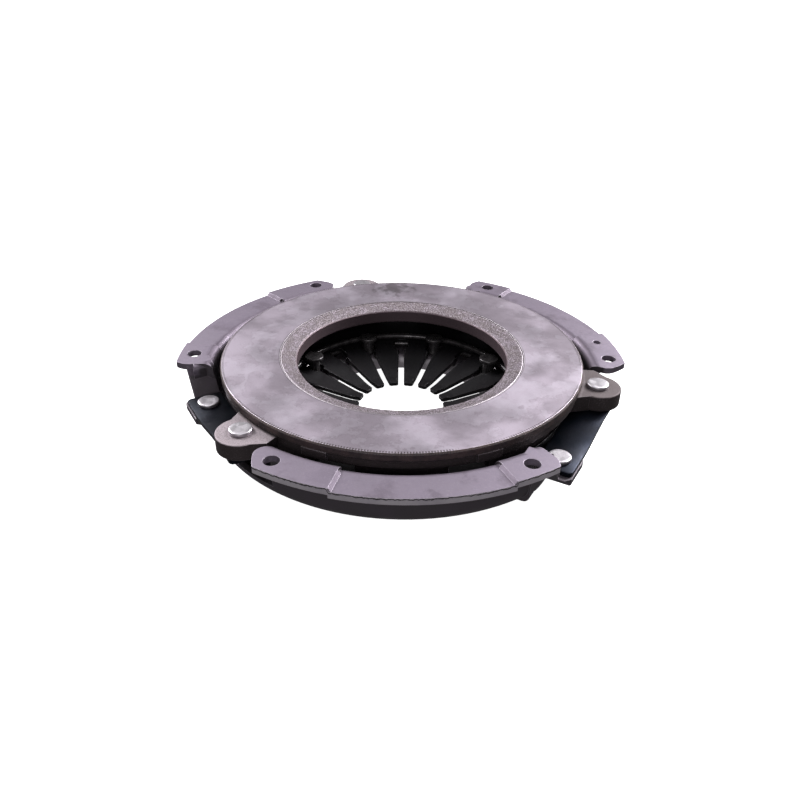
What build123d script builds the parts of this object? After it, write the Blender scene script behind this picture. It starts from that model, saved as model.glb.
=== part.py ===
"""Diaphragm-spring clutch pressure plate assembly, 228 mm friction face, in millimetres.

The origin lies on the axis of rotation, in the plane of the bolting face of the cover.
+Z points to the flywheel and +X goes through a bolt hole. The assembly is shown as it
lies before it is bolted up: the spring has lifted the pressure plate to its free height.
"""

import os
from math import asin, atan, cos, degrees, radians, sin, sqrt

from build123d import *

# Driving sizes of the pressure plate casting
FACE_RISE = 4.0
FACE_OUTER_R = 114.0
FACE_WIDTH = 36.6
LAND_WIDTH = 10.4
LAND_DROP = 2.8
PLATE_THICKNESS = 11.6
RIM_CHAMFER = 0.9
RIM_BAND = 4.6
CAST_SETBACK = 1.2
RIM_PAD_RISE = 1.6
RIM_PAD_ANGLE = 7.5
RIM_PAD_OFFSET = 24.0
GROOVE_WIDTH = 0.9
GROOVE_DEPTH = 0.5

# Driving sizes of the strap drive: three lugs, three ledges, three packs of leaves
STRAP_COUNT = 3
STRAP_FIRST_AZIMUTH = 90.0
STRAP_OFFSET = 5.2
RIVET_PITCH = 62.4
LEAF_COUNT = 3
LEAF_THICKNESS = 0.9
LEAF_WIDTH = 21.6
LEAF_END = 10.6
LEAF_CORNER = 3.0
LUG_R = 14.2
LUG_DROP = 5.5
LUG_THICKNESS = 9.9
LUG_FLARE = 7.0
LUG_ROOT_DEPTH = 10.0
LUG_EDGE = 0.8
STRAP_FALL = 6.0

# Driving sizes of the diaphragm spring and its fulcrum
FINGER_COUNT = 18
FIRST_SLOT_AZIMUTH = 10.0
SPRING_SETBACK = 7.5
FULCRUM_SETBACK = 10.0
TIP_R = 28.0
TIP_LENGTH = 8.0
SPRING_THICKNESS = 2.6
CONE_SLOPE = 0.235
TIP_SLOPE = 0.12
FULCRUM_DROP = 25.4
SLOT_WIDTH = 3.9
WINDOW_WIDTH = 9.6
WINDOW_LENGTH = 11.0
WINDOW_SETBACK = 1.5
WINDOW_CORNER = 2.6
TIP_CORNER = 0.9
WIRE_R = 2.0
WIRE_SPLIT_ANGLE = 1.5
RIDGE_SETBACK = 2.3
RIDGE_NOSE_R = 2.4
RIDGE_WALL = 3.4
RIDGE_GAP_ANGLE = 13.0
RIDGE_SEGMENTS = 9

# Driving sizes of the cover pressing
SHEET = 4.0
FLANGE_WIDTH = 18.8
PAD_HEIGHT = 2.0
BEND_R = 2.4
CORNER_R = 5.5
COLLAR_SETBACK = 16.7
COLLAR_DEPTH = 5.5
PAD_A_END = 15.2
PAD_B_START = 53.8
STEP_RUN = 1.8
# Flange ends: inset from the rim of the flange, and degrees beyond the last bolt hole
FLANGE_END_LUG_SIDE = ((-4.0, 0.8), (4.0, 3.7), (13.0, 5.7), (19.0, 4.3), (24.0, 2.4))
FLANGE_END_LEDGE_SIDE = ((-4.0, 1.4), (1.4, 5.0), (5.0, 5.8), (11.0, 6.0))
LOW_RIM_HEIGHT = 9.0
RECESS_BESIDE_RIVET = 17.2
DROP_WALL_BESIDE_RIVET = 18.8
LEDGE_REACH = 11.3
BEAD_COUNT = 9
BEAD_WIDTH = 9.0
BEAD_RISE = 1.6
BEAD_INNER_OFFSET = 9.0
BEAD_OUTER_SETBACK = 15.6
BEAD_FIRST_AZIMUTH = 10.0

# Driving sizes of the holes and rivets
BOLT_COUNT = 6
BOLT_INSET = 9.2
BOLT_HOLE_R = 4.5
DOWEL_R = 2.6
DOWEL_INSET = 9.6
DOWEL_AZIMUTH = 10.1
STRAP_RIVET_R = 4.0
STRAP_HEAD_R = 6.6
STRAP_HEAD_HEIGHT = 2.3
FORMED_HEAD_R = 5.9
FORMED_HEAD_HEIGHT = 2.2
FULCRUM_RIVET_COUNT = 9
FULCRUM_RIVET_FIRST_AZIMUTH = 30.0
FULCRUM_SHANK_R = 4.0
FULCRUM_TENON_R = 3.3
FULCRUM_HEAD_R = 6.7
FULCRUM_HEAD_HEIGHT = 2.2
HEAD_EDGE = 0.6

# Clearances
RIVET_CLEARANCE = 0.08
SEAT_GAP = 0.05
RIDGE_CLEARANCE = 0.3
WALL_CLEARANCE = 5.6
RECESS_CLEARANCE = 1.7
WIRE_CLEARANCE = 0.5

# Radii worked out from the sizes above
FACE_INNER_R = FACE_OUTER_R - FACE_WIDTH
BORE_R = FACE_INNER_R - LAND_WIDTH
STRAP_LINE = FACE_OUTER_R + STRAP_OFFSET
LUG_ROOT = FACE_OUTER_R - LUG_ROOT_DEPTH
SPRING_OUTER_R = FACE_OUTER_R - SPRING_SETBACK
RIDGE_R = SPRING_OUTER_R - RIDGE_SETBACK
FULCRUM_R = BORE_R + FULCRUM_SETBACK
TIP_BEND_R = TIP_R + TIP_LENGTH
WINDOW_OUTER_R = FULCRUM_R - WINDOW_SETBACK
WINDOW_INNER_R = WINDOW_OUTER_R - WINDOW_LENGTH
FULCRUM_RIVET_CIRCLE_R = FULCRUM_R - WIRE_R - FULCRUM_SHANK_R - WIRE_CLEARANCE
COLLAR_INNER_R = FULCRUM_R - COLLAR_SETBACK
WALL_INNER_R = FACE_OUTER_R + WALL_CLEARANCE
WALL_OUTER_R = WALL_INNER_R + SHEET
FLANGE_OUTER_R = WALL_OUTER_R + FLANGE_WIDTH
BOLT_CIRCLE_R = FLANGE_OUTER_R - BOLT_INSET
DOWEL_CIRCLE_R = FLANGE_OUTER_R - DOWEL_INSET
RECESS_WALL = SPRING_OUTER_R + RECESS_CLEARANCE
LEDGE_WIDTH = STRAP_LINE + LEDGE_REACH
BEAD_INNER_R = FULCRUM_R + BEAD_INNER_OFFSET
BEAD_OUTER_R = WALL_OUTER_R - BEAD_OUTER_SETBACK

# Places along a strap, counted from its middle, and the azimuths where a gap ends
HALF_PITCH = RIVET_PITCH / 2
RECESS_END = RECESS_BESIDE_RIVET - HALF_PITCH
DROP_WALL = -HALF_PITCH - DROP_WALL_BESIDE_RIVET
GAP_END = degrees(asin(-DROP_WALL / WALL_OUTER_R))
GAP_START = -GAP_END
HOLE_TO_GAP = 180 / BOLT_COUNT

# Levels worked out from the sizes above
CONE_ANGLE = degrees(atan(CONE_SLOPE))
CONE_RISE = SPRING_THICKNESS / cos(radians(CONE_ANGLE))
PLATE_UNDER_Z = FACE_RISE - PLATE_THICKNESS
LUG_TOP_Z = FACE_RISE - LUG_DROP
LUG_UNDER_Z = LUG_TOP_Z - LUG_THICKNESS
STRAP_PACK = LEAF_COUNT * LEAF_THICKNESS
LEDGE_TOP_Z = LUG_UNDER_Z - STRAP_FALL - STRAP_PACK


def cone_top(radius):
    """Height of the plate-side face of the straight part of the spring."""
    return -FULCRUM_DROP + (radius - FULCRUM_R) * CONE_SLOPE


WIRE_REACH = WIRE_R + SEAT_GAP
UPPER_WIRE_R = FULCRUM_R - WIRE_REACH * sin(radians(CONE_ANGLE))
UPPER_WIRE_Z = cone_top(FULCRUM_R) + WIRE_REACH * cos(radians(CONE_ANGLE))
LOWER_WIRE_R = FULCRUM_R + WIRE_REACH * sin(radians(CONE_ANGLE))
LOWER_WIRE_Z = cone_top(FULCRUM_R) - CONE_RISE - WIRE_REACH * cos(radians(CONE_ANGLE))
FLOOR_TOP_Z = LOWER_WIRE_Z - WIRE_REACH
FLOOR_UNDER_Z = FLOOR_TOP_Z - SHEET
COLLAR_END_Z = FLOOR_UNDER_Z - COLLAR_DEPTH
LOW_RIM_Z = FLOOR_UNDER_Z + LOW_RIM_HEIGHT


def strap_azimuths():
    """Azimuth of the middle of each strap gap."""
    return [STRAP_FIRST_AZIMUTH + 360 / STRAP_COUNT * k for k in range(STRAP_COUNT)]


def gap_plane(azimuth, z):
    """Level plane with x straight out through a strap gap and y along its strap."""
    return Plane(origin=(0, 0, z)).rotated((0, 0, azimuth))


def side_plane(azimuth, along=0.0):
    """Upright plane across a strap gap: x straight out, y up, at a place along the strap."""
    level = gap_plane(azimuth, 0)
    return Plane(origin=level.from_local_coords(Vector(0, along, 0)), x_dir=level.x_dir, z_dir=-level.y_dir)


def strap_plane(azimuth, out):
    """Upright plane along a strap: x along the strap, y up, at a distance from the axis."""
    level = gap_plane(azimuth, 0)
    return Plane(origin=level.from_local_coords(Vector(out, 0, 0)), x_dir=level.y_dir, z_dir=level.x_dir)


def polar(radius, azimuth):
    """Point of a level sketch given by radius and azimuth."""
    return (radius * cos(radians(azimuth)), radius * sin(radians(azimuth)))


def rounded_section(plane, points, rounds):
    """Closed outline through the points, with some of its corners rounded."""
    with BuildSketch(plane, mode=Mode.PRIVATE) as section:
        with BuildLine():
            Polyline(*points, close=True)
        make_face()
        for index, radius in rounds.items():
            fillet(section.vertices().sort_by_distance(points[index])[0], radius=radius)
    return section.sketch


def cup_section():
    """Sheet section of the cover from the flange down the wall and floor to the collar."""
    outer_bend = BEND_R + SHEET
    collar_outer_r = COLLAR_INNER_R + SHEET
    points = [
        (FLANGE_OUTER_R, -PAD_HEIGHT),
        (WALL_INNER_R, -PAD_HEIGHT),
        (WALL_INNER_R, FLOOR_TOP_Z),
        (COLLAR_INNER_R, FLOOR_TOP_Z),
        (COLLAR_INNER_R, COLLAR_END_Z),
        (collar_outer_r, COLLAR_END_Z),
        (collar_outer_r, FLOOR_UNDER_Z),
        (WALL_OUTER_R, FLOOR_UNDER_Z),
        (WALL_OUTER_R, -PAD_HEIGHT - SHEET),
        (FLANGE_OUTER_R, -PAD_HEIGHT - SHEET),
    ]
    rounds = {1: outer_bend, 2: CORNER_R, 3: outer_bend, 6: BEND_R, 7: CORNER_R + SHEET, 8: BEND_R}
    return rounded_section(Plane.XZ, points, rounds)


def pad_top_section():
    """Section of what a raised bolting pad adds on top of the flange."""
    bend_foot = -PAD_HEIGHT - SHEET - BEND_R - 0.6
    points = [
        (FLANGE_OUTER_R, 0),
        (WALL_INNER_R, 0),
        (WALL_INNER_R, bend_foot),
        (WALL_INNER_R + SHEET / 2, bend_foot),
        (WALL_OUTER_R + BEND_R + 0.5, -PAD_HEIGHT - SHEET / 2),
        (FLANGE_OUTER_R, -PAD_HEIGHT - SHEET / 2),
    ]
    return rounded_section(Plane.XZ, points, {1: BEND_R + SHEET})


def pad_under_section():
    """Section of the hollow that a raised bolting pad leaves under the flange."""
    foot = -PAD_HEIGHT - SHEET - BEND_R - 0.6
    points = [
        (FLANGE_OUTER_R + 1, -SHEET),
        (WALL_OUTER_R, -SHEET),
        (WALL_OUTER_R, foot),
        (FLANGE_OUTER_R + 1, foot),
    ]
    return rounded_section(Plane.XZ, points, {1: BEND_R})


def ledge_section(azimuth):
    """Stepped sheet section of a strap ledge: floor, recessed wall and the ledge itself."""
    recess_outer = RECESS_WALL + SHEET
    points = [
        (RECESS_WALL - 2 * SHEET, FLOOR_TOP_Z),
        (RECESS_WALL, FLOOR_TOP_Z),
        (RECESS_WALL, LEDGE_TOP_Z),
        (LEDGE_WIDTH, LEDGE_TOP_Z),
        (LEDGE_WIDTH, LEDGE_TOP_Z - SHEET),
        (recess_outer, LEDGE_TOP_Z - SHEET),
        (recess_outer, FLOOR_UNDER_Z),
        (RECESS_WALL - 2 * SHEET, FLOOR_UNDER_Z),
    ]
    rounds = {2: BEND_R + SHEET / 2, 5: BEND_R / 2, 6: BEND_R + SHEET / 2}
    return rounded_section(side_plane(azimuth, RECESS_END), points, rounds)


def drop_wall_section(azimuth):
    """Sheet section of the wall that drops from the end of the flange to the ledge."""
    outer_face = DROP_WALL - SHEET
    points = [
        (outer_face - 1.5 * SHEET, 0),
        (DROP_WALL, 0),
        (DROP_WALL, LEDGE_TOP_Z),
        (DROP_WALL + 2 * SHEET, LEDGE_TOP_Z),
        (DROP_WALL + 2 * SHEET, LEDGE_TOP_Z - SHEET),
        (outer_face, LEDGE_TOP_Z - SHEET),
        (outer_face, -SHEET),
        (outer_face - 1.5 * SHEET, -SHEET),
    ]
    rounds = {1: BEND_R + SHEET / 2, 2: BEND_R / 2, 5: BEND_R + SHEET / 2, 6: BEND_R / 2}
    return rounded_section(strap_plane(azimuth, RECESS_WALL), points, rounds)


def flange_end(plane, corner, side):
    """Outline of what the curved end of a flange leaves off, on a plane through its bolt hole."""
    with BuildSketch(plane, mode=Mode.PRIVATE) as cut:
        with BuildLine():
            curve = Spline(*[polar(FLANGE_OUTER_R - inset, side * angle) for inset, angle in corner])
            inner_r = FLANGE_OUTER_R - corner[-1][0]
            Polyline(curve @ 1, polar(inner_r, side * 9), polar(FLANGE_OUTER_R + 4, side * 9), curve @ 0)
        make_face()
    return cut.sketch


def turned(section, start=0.0, end=360.0):
    """Solid turned from a section about the axis, from one azimuth to another."""
    face = section.rotate(Axis.Z, start).face()
    sweep = Vector(0, 1, 0).rotate(Axis.Z, start)
    if face.normal_at().dot(sweep) < 0:
        face = -face
    return revolve(face, axis=Axis.Z, revolution_arc=end - start, mode=Mode.PRIVATE)


def draw_out(section, direction, length):
    """Solid drawn from a section over a length in a direction, not yet in any part."""
    return extrude(section, amount=length, dir=direction, mode=Mode.PRIVATE)


# Pressure plate casting
with BuildPart() as pressure_plate:
    land_outer_r = FACE_INNER_R - GROOVE_WIDTH
    cast_r = FACE_OUTER_R - CAST_SETBACK
    band_z = FACE_RISE - RIM_BAND
    with BuildSketch(Plane.XZ) as plate_section:
        with BuildLine():
            Polyline(
                (BORE_R, PLATE_UNDER_Z + 0.8),
                (BORE_R, FACE_RISE - LAND_DROP - 0.8),
                (BORE_R + 0.8, FACE_RISE - LAND_DROP),
                (land_outer_r, FACE_RISE - GROOVE_DEPTH / 2),
                (land_outer_r + 0.1, FACE_RISE - GROOVE_DEPTH),
                (FACE_INNER_R - 0.1, FACE_RISE - GROOVE_DEPTH),
                (FACE_INNER_R, FACE_RISE),
                (FACE_OUTER_R - RIM_CHAMFER, FACE_RISE),
                (FACE_OUTER_R, FACE_RISE - RIM_CHAMFER),
                (FACE_OUTER_R, band_z),
                (cast_r, band_z - CAST_SETBACK),
                (cast_r, PLATE_UNDER_Z + 1.6),
                (cast_r - 1.6, PLATE_UNDER_Z),
                (BORE_R + 0.8, PLATE_UNDER_Z),
                close=True,
            )
        make_face()
    revolve(axis=Axis.Z)
    for azimuth in strap_azimuths():
        with BuildSketch(gap_plane(azimuth, LUG_UNDER_Z)):
            with Locations((STRAP_LINE, HALF_PITCH)):
                Circle(LUG_R)
            with BuildLine():
                Polyline(
                    (STRAP_LINE, HALF_PITCH - LUG_R),
                    (STRAP_LINE - 8, HALF_PITCH - LUG_R - LUG_FLARE),
                    (LUG_ROOT, HALF_PITCH - LUG_R - LUG_FLARE),
                    (LUG_ROOT, HALF_PITCH + LUG_R),
                    (STRAP_LINE - 8, HALF_PITCH + LUG_R + LUG_FLARE / 2),
                    (STRAP_LINE, HALF_PITCH + LUG_R),
                    close=True,
                )
            make_face()
        extrude(amount=LUG_THICKNESS)
    round_edges = pressure_plate.edges().filter_by(GeomType.CIRCLE)
    fillet(round_edges.filter_by(lambda edge: abs(edge.radius - LUG_R) < 1e-6), radius=LUG_EDGE)
    # Ridge that presses on the rim of the spring, broken into segments that vent it
    nose_z = cone_top(RIDGE_R) + (RIDGE_NOSE_R + RIDGE_CLEARANCE) / cos(radians(CONE_ANGLE))
    segment = 360 / RIDGE_SEGMENTS - RIDGE_GAP_ANGLE
    with BuildSketch(Plane.XZ, mode=Mode.PRIVATE) as ridge_section:
        with Locations((RIDGE_R, nose_z)):
            Circle(RIDGE_NOSE_R)
        with BuildLine():
            Polyline(
                (RIDGE_R - RIDGE_NOSE_R, nose_z),
                (RIDGE_R + RIDGE_NOSE_R, nose_z),
                (RIDGE_R + RIDGE_WALL, PLATE_UNDER_Z + 1),
                (RIDGE_R - RIDGE_WALL - 1.5, PLATE_UNDER_Z + 1),
                close=True,
            )
        make_face()
    for index in range(RIDGE_SEGMENTS):
        start = FIRST_SLOT_AZIMUTH + RIDGE_GAP_ANGLE / 2 + index * 360 / RIDGE_SEGMENTS
        add(turned(ridge_section.sketch, start, start + segment))
    # Machined locating pads on the rim, in pairs between the lugs
    with BuildSketch(Plane.XZ, mode=Mode.PRIVATE) as pad_section:
        with BuildLine():
            Polyline(
                (cast_r - 2, band_z - 0.2),
                (FACE_OUTER_R + RIM_PAD_RISE - 1.2, band_z - 0.2),
                (FACE_OUTER_R + RIM_PAD_RISE - 1.2, PLATE_UNDER_Z + 2),
                (cast_r - 2, PLATE_UNDER_Z + 0.8),
                close=True,
            )
        make_face()
    for azimuth in strap_azimuths():
        for side in (-1, 1):
            middle = azimuth + 180 + side * RIM_PAD_OFFSET
            add(turned(pad_section.sketch, middle - RIM_PAD_ANGLE / 2, middle + RIM_PAD_ANGLE / 2))
    for azimuth in strap_azimuths():
        with BuildSketch(gap_plane(azimuth, LUG_TOP_Z)):
            with Locations((STRAP_LINE, HALF_PITCH)):
                Circle(STRAP_RIVET_R + SEAT_GAP)
        extrude(amount=-LUG_THICKNESS, mode=Mode.SUBTRACT)

# Diaphragm spring: a coned disc with slotted fingers and a window at the root of each slot
with BuildPart() as diaphragm_spring:
    bend_z = cone_top(TIP_BEND_R)
    tip_z = bend_z - (TIP_BEND_R - TIP_R) * TIP_SLOPE
    with BuildSketch(Plane.XZ) as spring_section:
        with BuildLine():
            Polyline(
                (TIP_R, tip_z),
                (TIP_BEND_R, bend_z),
                (SPRING_OUTER_R, cone_top(SPRING_OUTER_R)),
                (SPRING_OUTER_R, cone_top(SPRING_OUTER_R) - CONE_RISE),
                (TIP_BEND_R, bend_z - CONE_RISE),
                (TIP_R, tip_z - CONE_RISE),
                close=True,
            )
        make_face()
        fillet(spring_section.vertices().group_by(Axis.X)[-1], radius=0.8)
    revolve(axis=Axis.Z)
    with BuildSketch(Plane.XY) as slots:
        with PolarLocations(0, FINGER_COUNT, start_angle=FIRST_SLOT_AZIMUTH):
            slot_length = WINDOW_INNER_R + 2 - TIP_R / 2
            with Locations((TIP_R / 2 + slot_length / 2, 0)):
                Rectangle(slot_length, SLOT_WIDTH)
            with Locations(((WINDOW_INNER_R + WINDOW_OUTER_R) / 2, 0)):
                RectangleRounded(WINDOW_OUTER_R - WINDOW_INNER_R, WINDOW_WIDTH, WINDOW_CORNER)
            with Locations((TIP_R, 0)):
                RegularPolygon(SLOT_WIDTH / 2 + TIP_CORNER, 4, rotation=0)
    extrude(amount=-(FULCRUM_DROP + SPRING_OUTER_R * CONE_SLOPE), mode=Mode.SUBTRACT)


def fulcrum_wire(radius, height):
    """Wire ring that the spring rocks on, with the narrow split of a closed wire."""
    with BuildPart() as wire:
        with BuildSketch(Plane.XZ, mode=Mode.PRIVATE) as wire_section:
            with Locations((radius, height)):
                Circle(WIRE_R)
        split = BEAD_FIRST_AZIMUTH + WIRE_SPLIT_ANGLE / 2
        add(turned(wire_section.sketch, split, split + 360 - WIRE_SPLIT_ANGLE))
    return wire


fulcrum_ring_plate_side = fulcrum_wire(UPPER_WIRE_R, UPPER_WIRE_Z)
fulcrum_ring_cover_side = fulcrum_wire(LOWER_WIRE_R, LOWER_WIRE_Z)


# Cover pressing
with BuildPart() as cover_pressing:
    turn = 360 / STRAP_COUNT
    add(turned(cup_section(), turn / 4, turn / 4 + 360))
    for index in range(STRAP_COUNT):
        start = index * turn + PAD_B_START
        end = (index + 1) * turn + PAD_A_END
        add(turned(pad_under_section(), start, end), mode=Mode.SUBTRACT)
        add(turned(pad_top_section(), start, end))
    # Strap gaps, where only a low rim is left of the wall
    with BuildSketch(Plane.XZ, mode=Mode.PRIVATE) as gap_section:
        with Locations((WALL_INNER_R - BEND_R, LOW_RIM_Z)):
            Rectangle(FLANGE_OUTER_R - WALL_INNER_R + 8, 1 - LOW_RIM_Z, align=(Align.MIN, Align.MIN))
    for azimuth in strap_azimuths():
        add(turned(gap_section.sketch, azimuth + GAP_START, azimuth + GAP_END), mode=Mode.SUBTRACT)
    # Sloping steps between the raised pads and the middle of each flange
    step_r = WALL_OUTER_R + BEND_R + 0.5
    for index in range(STRAP_COUNT):
        for edge, side in ((PAD_A_END, 1), (PAD_B_START, -1)):
            step = gap_plane(index * turn + edge, 0)
            step_start = step.from_local_coords(Vector(step_r, 0, 0))
            step_plane = Plane(origin=step_start, x_dir=step.y_dir, z_dir=step.x_dir)
            slope = rounded_section(step_plane, [(0, 0), (side * STEP_RUN, -PAD_HEIGHT), (0, -PAD_HEIGHT)], {})
            add(draw_out(slope, step.x_dir, FLANGE_OUTER_R - 0.4 - step_r))
    for azimuth in strap_azimuths():
        # Recess in the wall and floor below the ledge
        recess_outer = RECESS_WALL + SHEET
        recess_start = -sqrt(WALL_OUTER_R**2 - recess_outer**2) - SHEET
        with BuildSketch(gap_plane(azimuth, FLOOR_UNDER_Z - 1)):
            with BuildLine():
                Polyline(
                    (recess_outer, RECESS_END),
                    (recess_outer, recess_start),
                    (WALL_OUTER_R + 4, recess_start),
                    (WALL_OUTER_R + 4, RECESS_END),
                    close=True,
                )
            make_face()
        extrude(amount=LEDGE_TOP_Z - SHEET - FLOOR_UNDER_Z + 1, mode=Mode.SUBTRACT)
        # Recessed wall and ledge, the wall that drops to it, and the end of the recess
        level = gap_plane(azimuth, 0)
        add(draw_out(ledge_section(azimuth), -level.y_dir, RECESS_END - DROP_WALL + SHEET))
        add(draw_out(drop_wall_section(azimuth), level.x_dir, WALL_OUTER_R + 0.4 - RECESS_WALL))
        with BuildSketch(gap_plane(azimuth, FLOOR_UNDER_Z)):
            with BuildLine():
                Polyline(
                    (RECESS_WALL, RECESS_END),
                    (RECESS_WALL, RECESS_END + SHEET),
                    (WALL_INNER_R - 1, RECESS_END + SHEET),
                    (WALL_INNER_R - 1, RECESS_END),
                    close=True,
                )
            make_face()
        extrude(amount=LOW_RIM_HEIGHT)
        # Ends of the ledge and of the flange trimmed to their outline
        with BuildSketch(gap_plane(azimuth, LEDGE_TOP_Z - SHEET)):
            with BuildLine():
                Polyline(
                    (LEDGE_WIDTH, -HALF_PITCH + 9),
                    (LEDGE_WIDTH - 8, RECESS_END),
                    (LEDGE_WIDTH, RECESS_END + 1),
                    (LEDGE_WIDTH + 2, RECESS_END + 1),
                    (LEDGE_WIDTH + 2, -HALF_PITCH + 9),
                    close=True,
                )
            make_face()
            with BuildLine():
                Polyline(
                    (LEDGE_WIDTH, -HALF_PITCH - 11),
                    (WALL_OUTER_R, DROP_WALL - 1.0),
                    (WALL_OUTER_R, DROP_WALL - SHEET - 1),
                    (LEDGE_WIDTH + 2, DROP_WALL - SHEET - 1),
                    (LEDGE_WIDTH + 2, -HALF_PITCH - 11),
                    close=True,
                )
            make_face()
        extrude(amount=SHEET, mode=Mode.SUBTRACT)
        # Curved ends of the two flanges that face each other across the gap
        lug_side = flange_end(gap_plane(azimuth + HOLE_TO_GAP, LOW_RIM_Z), FLANGE_END_LUG_SIDE, -1)
        ledge_side = flange_end(gap_plane(azimuth - HOLE_TO_GAP, LOW_RIM_Z), FLANGE_END_LEDGE_SIDE, 1)
        add(draw_out(lug_side, Vector(0, 0, 1), 1 - LOW_RIM_Z), mode=Mode.SUBTRACT)
        add(draw_out(ledge_side, Vector(0, 0, 1), 1 - LOW_RIM_Z), mode=Mode.SUBTRACT)
    # Stiffening beads pressed out of the floor
    bead_middle = (BEAD_INNER_R + BEAD_OUTER_R) / 2
    bead_length = BEAD_OUTER_R - BEAD_INNER_R
    with BuildSketch(Plane.XY.offset(FLOOR_UNDER_Z)):
        with PolarLocations(bead_middle, BEAD_COUNT, start_angle=BEAD_FIRST_AZIMUTH):
            SlotOverall(bead_length, BEAD_WIDTH)
    extrude(amount=-BEAD_RISE, taper=35)
    with BuildSketch(Plane.XY.offset(FLOOR_TOP_Z)):
        with PolarLocations(bead_middle, BEAD_COUNT, start_angle=BEAD_FIRST_AZIMUTH):
            SlotOverall(bead_length - 2, BEAD_WIDTH - 2)
    extrude(amount=-BEAD_RISE, taper=35, mode=Mode.SUBTRACT)
    with BuildSketch(Plane.XY.offset(1)):
        with PolarLocations(BOLT_CIRCLE_R, BOLT_COUNT):
            Circle(BOLT_HOLE_R)
        with Locations(polar(DOWEL_CIRCLE_R, DOWEL_AZIMUTH)):
            Circle(DOWEL_R)
    extrude(amount=-PAD_HEIGHT - SHEET - 2, mode=Mode.SUBTRACT)
    with BuildSketch(Plane.XY.offset(FLOOR_TOP_Z)):
        with PolarLocations(FULCRUM_RIVET_CIRCLE_R, FULCRUM_RIVET_COUNT, start_angle=FULCRUM_RIVET_FIRST_AZIMUTH):
            Circle(FULCRUM_TENON_R + SEAT_GAP)
    extrude(amount=-SHEET, mode=Mode.SUBTRACT)
    for azimuth in strap_azimuths():
        with BuildSketch(gap_plane(azimuth, LEDGE_TOP_Z)):
            with Locations((STRAP_LINE, -HALF_PITCH)):
                Circle(STRAP_RIVET_R + SEAT_GAP)
        extrude(amount=-SHEET, mode=Mode.SUBTRACT)


def turned_rivet(location, outline, rounds):
    """Rivet turned from half of its outline, standing at a place on the assembly."""
    with BuildPart() as rivet:
        add(turned(rounded_section(Plane.XZ, outline, rounds)))
    rivet.part.locate(location)
    return rivet


def strap_rivet(location, head_seat, grip):
    """Shouldered strap rivet: flat head above, formed head below what it grips."""
    foot = head_seat - grip
    outline = [
        (0, head_seat + STRAP_HEAD_HEIGHT),
        (STRAP_HEAD_R, head_seat + STRAP_HEAD_HEIGHT),
        (STRAP_HEAD_R, head_seat),
        (STRAP_RIVET_R, head_seat),
        (STRAP_RIVET_R, foot),
        (FORMED_HEAD_R, foot),
        (FORMED_HEAD_R - 0.8, foot - FORMED_HEAD_HEIGHT),
        (0, foot - FORMED_HEAD_HEIGHT),
    ]
    return turned_rivet(location, outline, {1: HEAD_EDGE, 6: HEAD_EDGE})


def fulcrum_rivet(location):
    """Fulcrum rivet: head over the plate-side wire, shoulder on the floor, formed head below."""
    head_seat = UPPER_WIRE_Z + WIRE_REACH
    outline = [
        (0, head_seat + FULCRUM_HEAD_HEIGHT),
        (FULCRUM_HEAD_R, head_seat + FULCRUM_HEAD_HEIGHT),
        (FULCRUM_HEAD_R, head_seat),
        (FULCRUM_SHANK_R, head_seat),
        (FULCRUM_SHANK_R, FLOOR_TOP_Z),
        (FULCRUM_TENON_R, FLOOR_TOP_Z),
        (FULCRUM_TENON_R, FLOOR_UNDER_Z),
        (FORMED_HEAD_R - 0.4, FLOOR_UNDER_Z),
        (FORMED_HEAD_R - 1.2, FLOOR_UNDER_Z - FORMED_HEAD_HEIGHT),
        (0, FLOOR_UNDER_Z - FORMED_HEAD_HEIGHT),
    ]
    return turned_rivet(location, outline, {1: HEAD_EDGE, 8: HEAD_EDGE})


def strap_leaf(azimuth, index):
    """One leaf of a strap pack: flat ends joined by an easy double bend."""
    drop = index * LEAF_THICKNESS
    high_z = LUG_UNDER_Z - drop
    low_z = high_z - STRAP_FALL
    flat = LEAF_END - 1
    near = -HALF_PITCH + flat
    far = HALF_PITCH - flat
    reach = (far - near) / 2
    with BuildPart() as leaf:
        with BuildSketch(strap_plane(azimuth, STRAP_LINE - LEAF_WIDTH / 2)) as side:
            with BuildLine():
                lower_end = Line((-HALF_PITCH - LEAF_END, low_z), (near, low_z))
                bend = Bezier(lower_end @ 1, (near + reach, low_z), (far - reach, high_z), (far, high_z))
                upper_end = Line(bend @ 1, (HALF_PITCH + LEAF_END, high_z))
                tip = Line(upper_end @ 1, (HALF_PITCH + LEAF_END, high_z - LEAF_THICKNESS))
                upper_back = Line(tip @ 1, (far, high_z - LEAF_THICKNESS))
                back = Bezier(
                    upper_back @ 1,
                    (far - reach, high_z - LEAF_THICKNESS),
                    (near + reach, low_z - LEAF_THICKNESS),
                    (near, low_z - LEAF_THICKNESS),
                )
                lower_back = Line(back @ 1, (-HALF_PITCH - LEAF_END, low_z - LEAF_THICKNESS))
                Line(lower_back @ 1, lower_end @ 0)
            make_face()
        extrude(amount=LEAF_WIDTH)
        chamfer(leaf.edges().filter_by(Axis.Z), length=LEAF_CORNER)
        with BuildSketch(gap_plane(azimuth, 0)):
            with Locations((STRAP_LINE, -HALF_PITCH), (STRAP_LINE, HALF_PITCH)):
                Circle(STRAP_RIVET_R + RIVET_CLEARANCE)
        extrude(amount=low_z - 2 * LEAF_THICKNESS, mode=Mode.SUBTRACT)
    return leaf


def save(piece, name):
    """Label a piece and write it to its own file."""
    piece.part.label = name
    export_step(piece.part, f"parts/{name}.step")


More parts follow.
